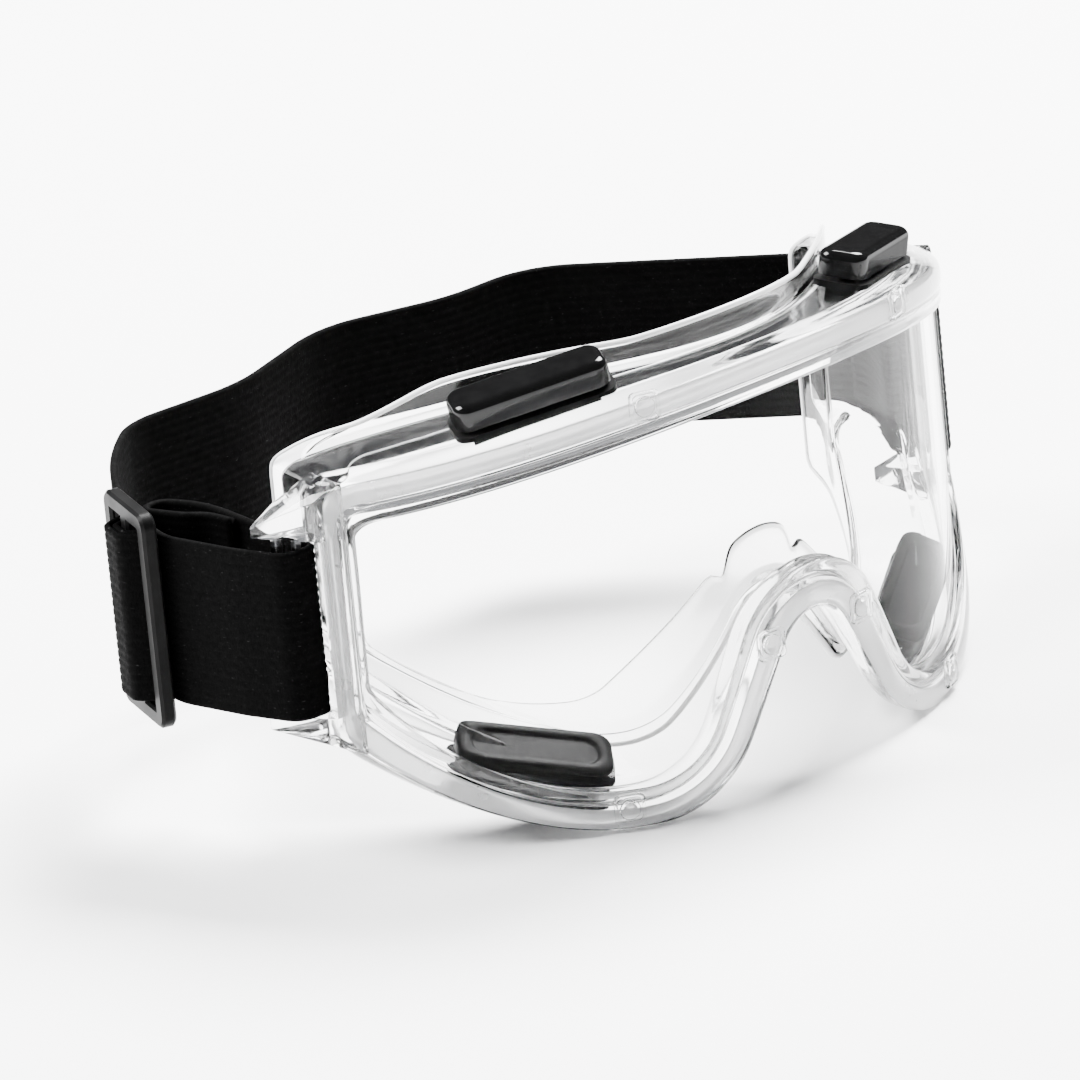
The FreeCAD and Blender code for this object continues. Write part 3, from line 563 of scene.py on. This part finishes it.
def wing(side, name):
    """Ledges above and below the strap slot, and the bar that the strap loops round."""
    ledges = {(i, j, k) for i in range(4) for j in (0, 2) for k in (0, 1)}
    cells = ledges | {(0, 1, 0), (0, 1, 1), (2, 1, 1)}
    corners, build = {}, bmesh.new()

    def corner(*spot):
        if spot not in corners:
            corners[spot] = build.verts.new(wing_corner(side, *spot))
        return corners[spot]

    for cell in sorted(cells):
        for axis in range(3):
            for end in (0, 1):
                beyond = list(cell)
                beyond[axis] += 2 * end - 1
                if tuple(beyond) in cells:
                    continue
                face = []
                for a, b in ((0, 0), (0, 1), (1, 1), (1, 0)):
                    spot = list(cell)
                    spot[axis] += end
                    spot[(axis + 1) % 3] += a
                    spot[(axis + 2) % 3] += b
                    face.append(corner(*spot))
                build.faces.new(face)
    bmesh.ops.recalc_face_normals(build, faces=build.faces)
    mesh = bpy.data.meshes.new(name)
    build.to_mesh(mesh)
    build.free()
    piece = new_piece(name, mesh, VINYL)
    soften = piece.modifiers.new("soften", "BEVEL")
    soften.width, soften.segments = WING_ROUND * MM, ROUND_STEPS
    soften.limit_method, soften.angle_limit = "ANGLE", ROUND_ANGLE


# ---------------------------------------------------------------- retaining pegs

# distance of each peg from the mirror plane, and its height
PEGS = (("brow", 35.0, 88.4), ("chin", 45.0, 4.6), ("nose", 12.5, 31.6))
# radius and height of the peg's turned outline, from its foot to its crown
PEG_TURN = (
    (2.3, -0.4), (2.25, 0.18), (1.95, 0.32), (1.6, 0.2), (1.45, 0.25), (1.35, 0.7), (0.9, 1.0),
    (0.02, 1.05),
)
PEG_SIDES = 20
# width and height of the square collar round the peg, from its outer foot over to its inner one
PEG_SEAT = ((6.4, -0.5), (6.4, 0.3), (6.1, 0.5), (5.5, 0.5), (5.2, 0.3), (5.2, -0.5))
SEAT_CORNER = 1.0
LEAST_STRAIGHT = 0.2


def rounded(long, wide, radius, steps=5):
    """Corners of a flat rounded rectangle, as points (x, y)."""
    radius = min(radius, (wide - LEAST_STRAIGHT) / 2)
    points = []
    for quarter in range(4):
        sx, sy = ((1, 1), (-1, 1), (-1, -1), (1, -1))[quarter]
        mid = Vector((sx * (long / 2 - radius), sy * (wide / 2 - radius)))
        for n in range(steps + 1):
            angle = math.pi / 2 * (quarter + n / steps)
            points.append(mid + Vector((math.cos(angle), math.sin(angle))) * radius)
    return points


def peg(name, x, z):
    """Turned stud that locks the lens in its groove, square to the rim's face."""
    foot = Vector((x, wrap_y(x, 0.0), z))
    out = Vector((x, foot.y - WRAP, 0)).normalized()
    across = out.cross(Vector((0, 0, 1)))
    sections = []
    for radius, height in PEG_TURN:
        turns = [2 * math.pi * n / PEG_SIDES for n in range(PEG_SIDES)]
        spokes = [across * math.cos(a) + Vector((0, 0, math.sin(a))) for a in turns]
        sections.append([foot + spoke * radius + out * height for spoke in spokes])
    new_piece(name, tube_mesh(name, sections), VINYL, levels=1)
    sections = []
    for width, height in PEG_SEAT:
        corners = rounded(width, width, SEAT_CORNER, steps=2)
        sections.append([foot + across * p.x + Vector((0, 0, p.y)) + out * height for p in corners])
    mesh = tube_mesh(f"{name}_seat", sections, ring=True)
    new_piece(f"{name}_seat", mesh, VINYL)


# ---------------------------------------------------------------- strap

STRAP_WIDE, STRAP_THICK, STRAP_LOW = 36.0, 1.6, 29.1
RIBS = 20
RIB_DEPTH = 0.16
# shares of a rib's pitch where its flank starts and where its top starts and ends
RIB_FOOT, RIB_TOP = 0.1, (0.35, 0.75)
# about how far apart the webbing's sections stand, in length and in radians of a bend
STEP, STEP_TURN = 1.4, 0.22
# Where the webbing's middle layer runs, seen from above, as corners and their bend radii.
BAND_ROUTE = (
    (-83.1, 62.5, 0), (-83.9, 54.4, 1.6), (-91.2, 54.9, 4), (-94.6, 67.0, 25), (-97.4, 83.8, 15),
    (-87.3, 116.8, 95), (-57.6, 139.6, 16), (-29.0, 137.3, 40), (2.5, 148.0, 26), (30.0, 138.4, 40),
    (52.0, 138.0, 22), (96.0, 86.0, 22), (91.4, 55.0, 4), (83.7, 54.6, 1.6), (83.8, 63.9, 6),
    (91.4, 76.0, 14), (92.3, 83.0, 0),
)
RETURN_ROUTE = (
    (-83.1, 62.5, 0), (-81.1, 79.6, 60), (-79.8, 92.0, 22), (-84.0, 100.6, 4), (-89.6, 100.4, 2.2),
    (-86.4, 90.2, 10), (-83.4, 86.4, 8), (-83.0, 79.7, 0),
)
# points where the return length leaves the goggles' body and where it meets the slider; the script
# only places them and ties the return length to neither body
BLEND_START, BLEND_END = (-83.1, 63.0, 47.0), (-81.1, 80.0, 47.0)


def travel(route):
    """Evenly spaced (point, heading) along straight runs and tangent arcs."""
    points = [Vector(p[:2]) for p in route]
    heading = (points[1] - points[0]).normalized()
    made, last = [], points[0]
    for corner, after, (_, _, radius) in zip(points[1:], points[2:], route[1:]):
        onward = (after - corner).normalized()
        turn = heading.angle_signed(onward)
        reach = radius * math.tan(abs(turn) / 2)
        start = corner - heading * reach
        made += paced(last, start, heading)
        steps = max(2, math.ceil(max(radius * abs(turn) / STEP, abs(turn) / STEP_TURN)))
        side = Vector((heading.y, -heading.x)) * math.copysign(radius, turn)
        for n in range(steps):
            spin = Matrix.Rotation(-turn * n / steps, 2)
            made.append((start + side - spin @ side, spin @ heading))
        last, heading = corner + onward * reach, onward
    return made + paced(last, points[-1], heading) + [(points[-1], heading)]


def paced(first, last, heading):
    count = max(1, round((last - first).length / STEP))
    return [(first.lerp(last, n / count), heading) for n in range(count)]


def webbing_section(thick):
    """(outward, height) round the webbing: ribs up one face and down the other."""
    pitch = STRAP_WIDE / RIBS
    face = []
    for rib in range(RIBS):
        foot = STRAP_LOW + rib * pitch
        face += [(thick / 2 - RIB_DEPTH, foot + RIB_FOOT * pitch)]
        face += [(thick / 2, foot + share * pitch) for share in RIB_TOP]
    back = [(-out, height) for out, height in reversed(face)]
    return face + [(0.0, STRAP_LOW + STRAP_WIDE)] + back + [(0.0, STRAP_LOW)]


def webbing(name, spots, body="goggles", thick=STRAP_THICK):
    """Ribbed webbing on edge along the spots, with its length and width as texture places."""
    outline = webbing_section(thick)
    sections, lengths, run_length = [], [], 0.0
    for number, (point, heading) in enumerate(spots):
        if number:
            run_length += (point - spots[number - 1][0]).length
        lengths.append(run_length * MM)
        left = Vector((-heading.y, heading.x))
        sections.append([Vector((*(point + left * out), height)) for out, height in outline])

    def uv(row, column):
        return lengths[row], column * STRAP_WIDE * MM * 2 / len(outline)

    mesh = tube_mesh(name, sections, uv=uv)
    return new_piece(name, mesh, WEBBING, body)


def strap():
    band = webbing("strap_band_webbing", travel(BAND_ROUTE))
    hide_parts("strap_band")
    back = webbing("strap_return_webbing", travel(RETURN_ROUTE), body=None)
    place(BLEND_START)
    place(BLEND_END)
    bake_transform(back)
    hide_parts("strap_tail")


# ---------------------------------------------------------------- slider

SLIDER_LEAN = math.radians(20.6)
WEAVE_THICK = 1.4
# along and outward of the webbing where it rises over the slider's middle bar
WEAVE_ROUTE = (
    (-6.8, -3.0, 0), (-5.9, 0.6, 3.0), (-3.6, 4.1, 2.4), (3.6, 4.1, 2.4), (5.9, 0.6, 3.0),
    (6.8, -3.0, 0),
)
LOOP_ROUTE = (
    (-4.4, -3.0, 0), (-3.6, 0.6, 1.2), (-2.6, 2.5, 1.4), (2.6, 2.5, 1.4), (3.6, 0.6, 1.2),
    (4.4, -3.0, 0),
)


def weave(name, route):
    """Webbing humped over the middle bar, drawn in the slider's own directions."""
    low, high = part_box("strap_slider")
    middle = ((low + high) / 2 - SHIFT) / MM
    out = Vector((-math.cos(SLIDER_LEAN), math.sin(SLIDER_LEAN)))
    along = Vector((-out.y, out.x))

    def turned(v):
        return along * v.x + out * v.y

    spots = []
    for point, heading in travel(route):
        spots.append((Vector((middle.x, middle.y)) + turned(point), turned(heading)))
    webbing(name, spots, "slider", thick=WEAVE_THICK)


# ---------------------------------------------------------------- lower vents

# centre of a lower vent on the left half, then yaw, outward slope and forward roll
LOWER_VENT = (52.5, 31.5, 12.4)
LOWER_TURNS = (33.0, -12.0, 206.0)
# the inner collar is cut lower towards the nose: where the cut starts, its mean and its slope
COLLAR_FOOT, COLLAR_CUT, COLLAR_SLOPE = -3.0, 0.6, 0.07
# length, width and height of the grommet's outline: outer flange, neck, inner collar, recess
GROMMET = (
    (30.0, 8.0, 1.3), (32.4, 10.0, 1.3), (33.4, 11.0, 1.2), (34.0, 11.6, 0.9), (34.0, 11.6, 0.15),
    (33.4, 11.0, 0.0), (28.0, 6.8, 0.0), (27.4, 6.4, -2.5), (31.0, 10.2, -2.5), (32.0, 11.2, -3.0),
    (32.0, 11.2, -5.6), (31.2, 10.4, -6.1), (27.0, 7.6, -6.1), (26.6, 7.2, -5.9), (26.2, 6.8, -5.55),
    (25.6, 6.2, -5.45), (24.8, 5.4, -5.45), (23.0, 3.6, -5.45),
)
GROMMET_CORNER = 3.2


def lower_vent(side, hand):
    """Grommet whose inner collar and sunk panel show through the lens."""
    yaw, slope, roll = (math.radians(a) for a in LOWER_TURNS)
    turn = Matrix.Rotation(side * yaw, 3, "Z") @ Matrix.Rotation(side * slope, 3, "Y")
    turn = turn @ Matrix.Rotation(roll, 3, "X")
    x, y, z = LOWER_VENT
    middle = Vector((side * x, y, z))
    sections = []
    for long, wide, height in GROMMET:
        outline = rounded(long, wide, GROMMET_CORNER)
        cut, slant = (COLLAR_CUT, -side * COLLAR_SLOPE) if height < COLLAR_FOOT else (0.0, 0.0)
        sections.append([middle + turn @ Vector((*p, height + cut + slant * p.x)) for p in outline])
    name = f"vent_base_bottom_{hand}"
    piece = new_piece(f"{name}_grommet", tube_mesh(name, sections), BASE)
    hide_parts(name)


# ---------------------------------------------------------------- CAD pieces that keep their shape


def dress(names, material):
    for name in names:
        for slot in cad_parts[name].material_slots:
            slot.link = "OBJECT"
            slot.material = material


def dress_nodes():
    vents = [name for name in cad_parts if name.startswith("vent_")]
    dress([name for name in vents if "_cap_" in name], CAP)
    dress([name for name in vents if "_base_" in name], BASE)
    dress(["lens"], LENS)
    dress(["strap_slider"], PLASTIC)
    dress(["tail_stitching", "end_stitching"], THREAD)


# ---------------------------------------------------------------- stage, light and camera

AZIMUTH, ELEVATION, ROLL = math.radians(-41.0), math.radians(20.5), math.radians(5.7)
# the camera's focal length and sensor in millimetres, and the width in metres that it takes in
LENS_LENGTH, SENSOR, FRAME_SPAN = 500.0, 36.0, 0.2175
# a point in the middle of the goggles, in metres, and the picture's centre right of it and above
GOGGLES_MIDDLE = (0.0031, -0.02835, 0.0767)
CENTRE_RIGHT, CENTRE_UP = -0.0243, -0.0315
NEAREST, FARTHEST = 0.1, 20.0
FLOOR_REACH = 4.0


def floor():
    mesh = bpy.data.meshes.new("floor")
    signs = ((-1, -1), (1, -1), (1, 1), (-1, 1))
    spots = [(x * FLOOR_REACH, y * FLOOR_REACH, 0) for x, y in signs]
    mesh.from_pydata(spots, [], [(0, 1, 2, 3)])
    look = Look("pale_floor", Roughness=0.6)
    look.blend(look.noise(3), grey(0.9), grey(0.93))
    mesh.materials.append(look.material)
    plane = bpy.data.objects.new("floor", mesh)
    bpy.context.scene.collection.objects.link(plane)


def softbox(name, spot, size, power):
    light = bpy.data.lights.new(name, "AREA")
    light.shape, light.size, light.energy = "SQUARE", size, power
    lamp = bpy.data.objects.new(name, light)
    lamp.location = spot
    lamp.rotation_euler = (-Vector(spot)).to_track_quat("-Z", "Y").to_euler()
    bpy.context.scene.collection.objects.link(lamp)


def lighting():
    world = bpy.data.worlds.new("studio")
    world.use_nodes = True
    backdrop = world.node_tree.nodes["Background"]
    backdrop.inputs["Color"].default_value = (0.93, 0.95, 1.0, 1)
    backdrop.inputs["Strength"].default_value = 0.32
    bpy.context.scene.world = world
    softbox("key", (1.1, 0.3, 1.5), 0.9, 290)
    softbox("fill", (-0.9, 0.9, 1.3), 0.9, 150)


def camera():
    a, e = AZIMUTH, ELEVATION
    right = Vector((math.cos(a), math.sin(a), 0))
    back = Vector((math.sin(a) * math.cos(e), -math.cos(a) * math.cos(e), math.sin(e)))
    up = back.cross(right)
    centre = Vector(GOGGLES_MIDDLE) + right * CENTRE_RIGHT + up * CENTRE_UP
    across = right * math.cos(ROLL) - up * math.sin(ROLL)
    upright = right * math.sin(ROLL) + up * math.cos(ROLL)
    data = bpy.data.cameras.new("camera")
    data.lens, data.sensor_width = LENS_LENGTH, SENSOR
    data.clip_start, data.clip_end = NEAREST, FARTHEST
    eye = bpy.data.objects.new("camera", data)
    stand = Matrix((across, upright, back)).transposed().to_4x4()
    stand.translation = centre + back * (FRAME_SPAN * LENS_LENGTH / SENSOR)
    eye.matrix_world = stand
    bpy.context.scene.collection.objects.link(eye)
    bpy.context.scene.camera = eye


clear_frame()
for side, hand in ((1, "left"), (-1, "right")):
    wing(side, f"side_wing_{hand}")
    for spot, x, z in PEGS:
        peg(f"lens_peg_{spot}_{hand}", side * x, z)
    lower_vent(side, hand)
strap()
weave("strap_weave_webbing", WEAVE_ROUTE)
weave("strap_loop_webbing", LOOP_ROUTE)
dress_nodes()
floor()
lighting()
camera()
